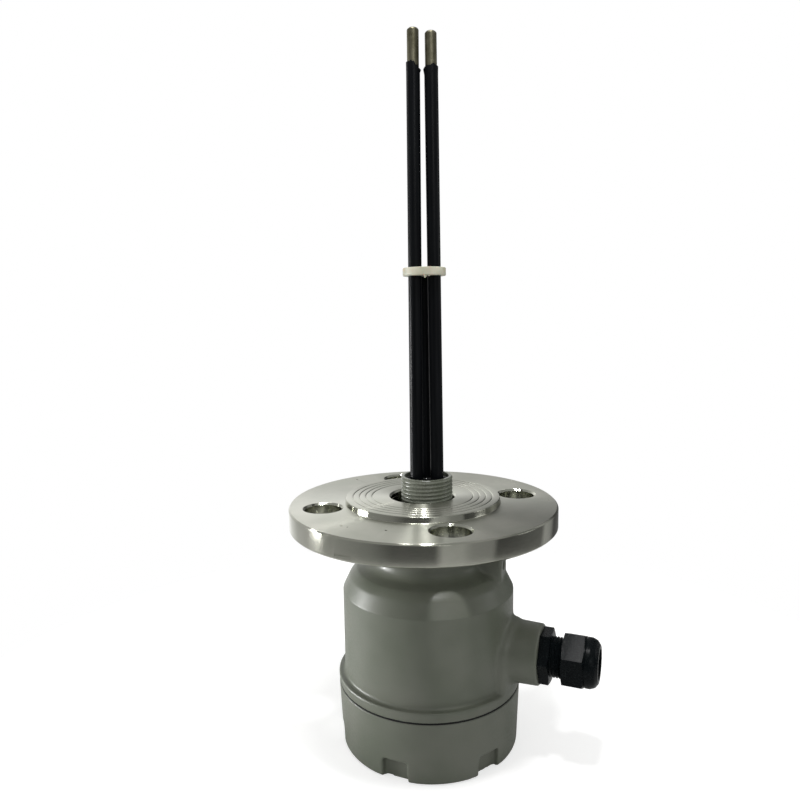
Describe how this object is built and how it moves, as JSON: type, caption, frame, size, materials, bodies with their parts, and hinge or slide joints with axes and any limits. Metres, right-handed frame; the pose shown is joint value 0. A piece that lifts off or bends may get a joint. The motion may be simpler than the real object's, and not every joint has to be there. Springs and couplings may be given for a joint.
{
  "type": "electrode level switch",
  "caption": "Flange-mounted electrode level switch with a round screw-cover housing, a side cable gland, a threaded spigot and long sleeved probe rods.",
  "frame": {"origin": "centre of the screw cover's flat end face, on which the switch stands in the picture", "axes": "+Z along the housing and the electrodes, towards their tips; +X along the cable gland, outwards"},
  "size_m": [0.1617, 0.14, 0.3632],
  "materials": {
    "housing_paint": "satin",
    "flange_steel": "satin",
    "gasket_fibre": "matt",
    "ptfe_white": "satin",
    "potting_black": "gloss",
    "rod_steel": "satin",
    "sleeve_black": "satin",
    "spacer_ivory": "satin",
    "zinc_steel": "bright",
    "tinned_copper": "satin",
    "wire_red": "satin",
    "wire_blue": "satin",
    "wire_yellow": "satin",
    "board_green": "satin",
    "brass_nickel": "satin",
    "terminal_green": "satin",
    "relay_black": "satin",
    "transformer_blue": "satin",
    "capacitor_blue": "gloss",
    "chip_black": "matt",
    "trimmer_blue": "satin",
    "rotor_white": "satin",
    "black_screw": "black oxide",
    "gland_black": "moulded semi-gloss",
    "seal_rubber": "matt"
  },
  "bodies": {
    "housing": {"housing": "housing_paint", "flange": "flange_steel", "flange_gasket": "gasket_fibre", "insulator": "ptfe_white", "potting": "potting_black", "electrode_left": "rod_steel", "electrode_right": "rod_steel", "electrode_short": "rod_steel", "sleeve_left": "sleeve_black", "sleeve_right": "sleeve_black", "sleeve_short": "sleeve_black", "spacer": "spacer_ivory", "electrode_washers": "zinc_steel", "electrode_nuts": "zinc_steel", "ring_lugs": "tinned_copper", "lead_left": "wire_red", "lead_right": "wire_blue", "lead_short": "wire_yellow", "control_board": "board_green", "board_pillars": "brass_nickel", "board_screws": "zinc_steel", "terminal_block": "terminal_green", "terminal_screws": "zinc_steel", "relay": "relay_black", "transformer": "transformer_blue", "capacitor": "capacitor_blue", "amplifier_chip": "chip_black", "trimmer": "trimmer_blue", "earth_screw": "brass_nickel", "earth_washer": "zinc_steel", "locking_screw": "black_screw", "gland_body": "gland_black", "gland_ring": "seal_rubber"},
    "cover_seal": {"cover_seal": "seal_rubber"},
    "cover": {"cover": "housing_paint"},
    "gland_seal": {"gland_seal": "seal_rubber"},
    "gland_nut": {"gland_nut": "gland_black"},
    "trimmer_rotor": {"trimmer_rotor": "rotor_white"}
  },
  "joints": [
    {"name": "cover_lift", "type": "slide", "parent": "housing", "child": "cover_seal", "axis": [0, 0, -1], "range_m": [0, 0.015]},
    {"name": "cover_turn", "type": "hinge", "parent": "cover_seal", "child": "cover", "pos_m": [0, 0, 0.0262], "axis": [0, 0, -1], "range_deg": [0, 2700]},
    {"name": "gland_nut_lift", "type": "slide", "parent": "housing", "child": "gland_seal", "axis": [1, 0, 0], "range_m": [-0.00225, 0.009]},
    {"name": "gland_nut_turn", "type": "hinge", "parent": "gland_seal", "child": "gland_nut", "pos_m": [0.0775, 0, 0.054], "axis": [1, 0, 0], "range_deg": [-540, 2160]},
    {"name": "sensitivity_turn", "type": "hinge", "parent": "housing", "child": "trimmer_rotor", "pos_m": [0.00346, 0.01935, 0.0645], "axis": [0, 0, -1], "range_deg": [-130, 130]}
  ],
  "couplings": [
    {"joint": "cover_lift", "follows": "cover_turn", "m_per_rad": 0.00031831},
    {"joint": "gland_nut_lift", "follows": "gland_nut_turn", "m_per_rad": 0.00023873}
  ]
}
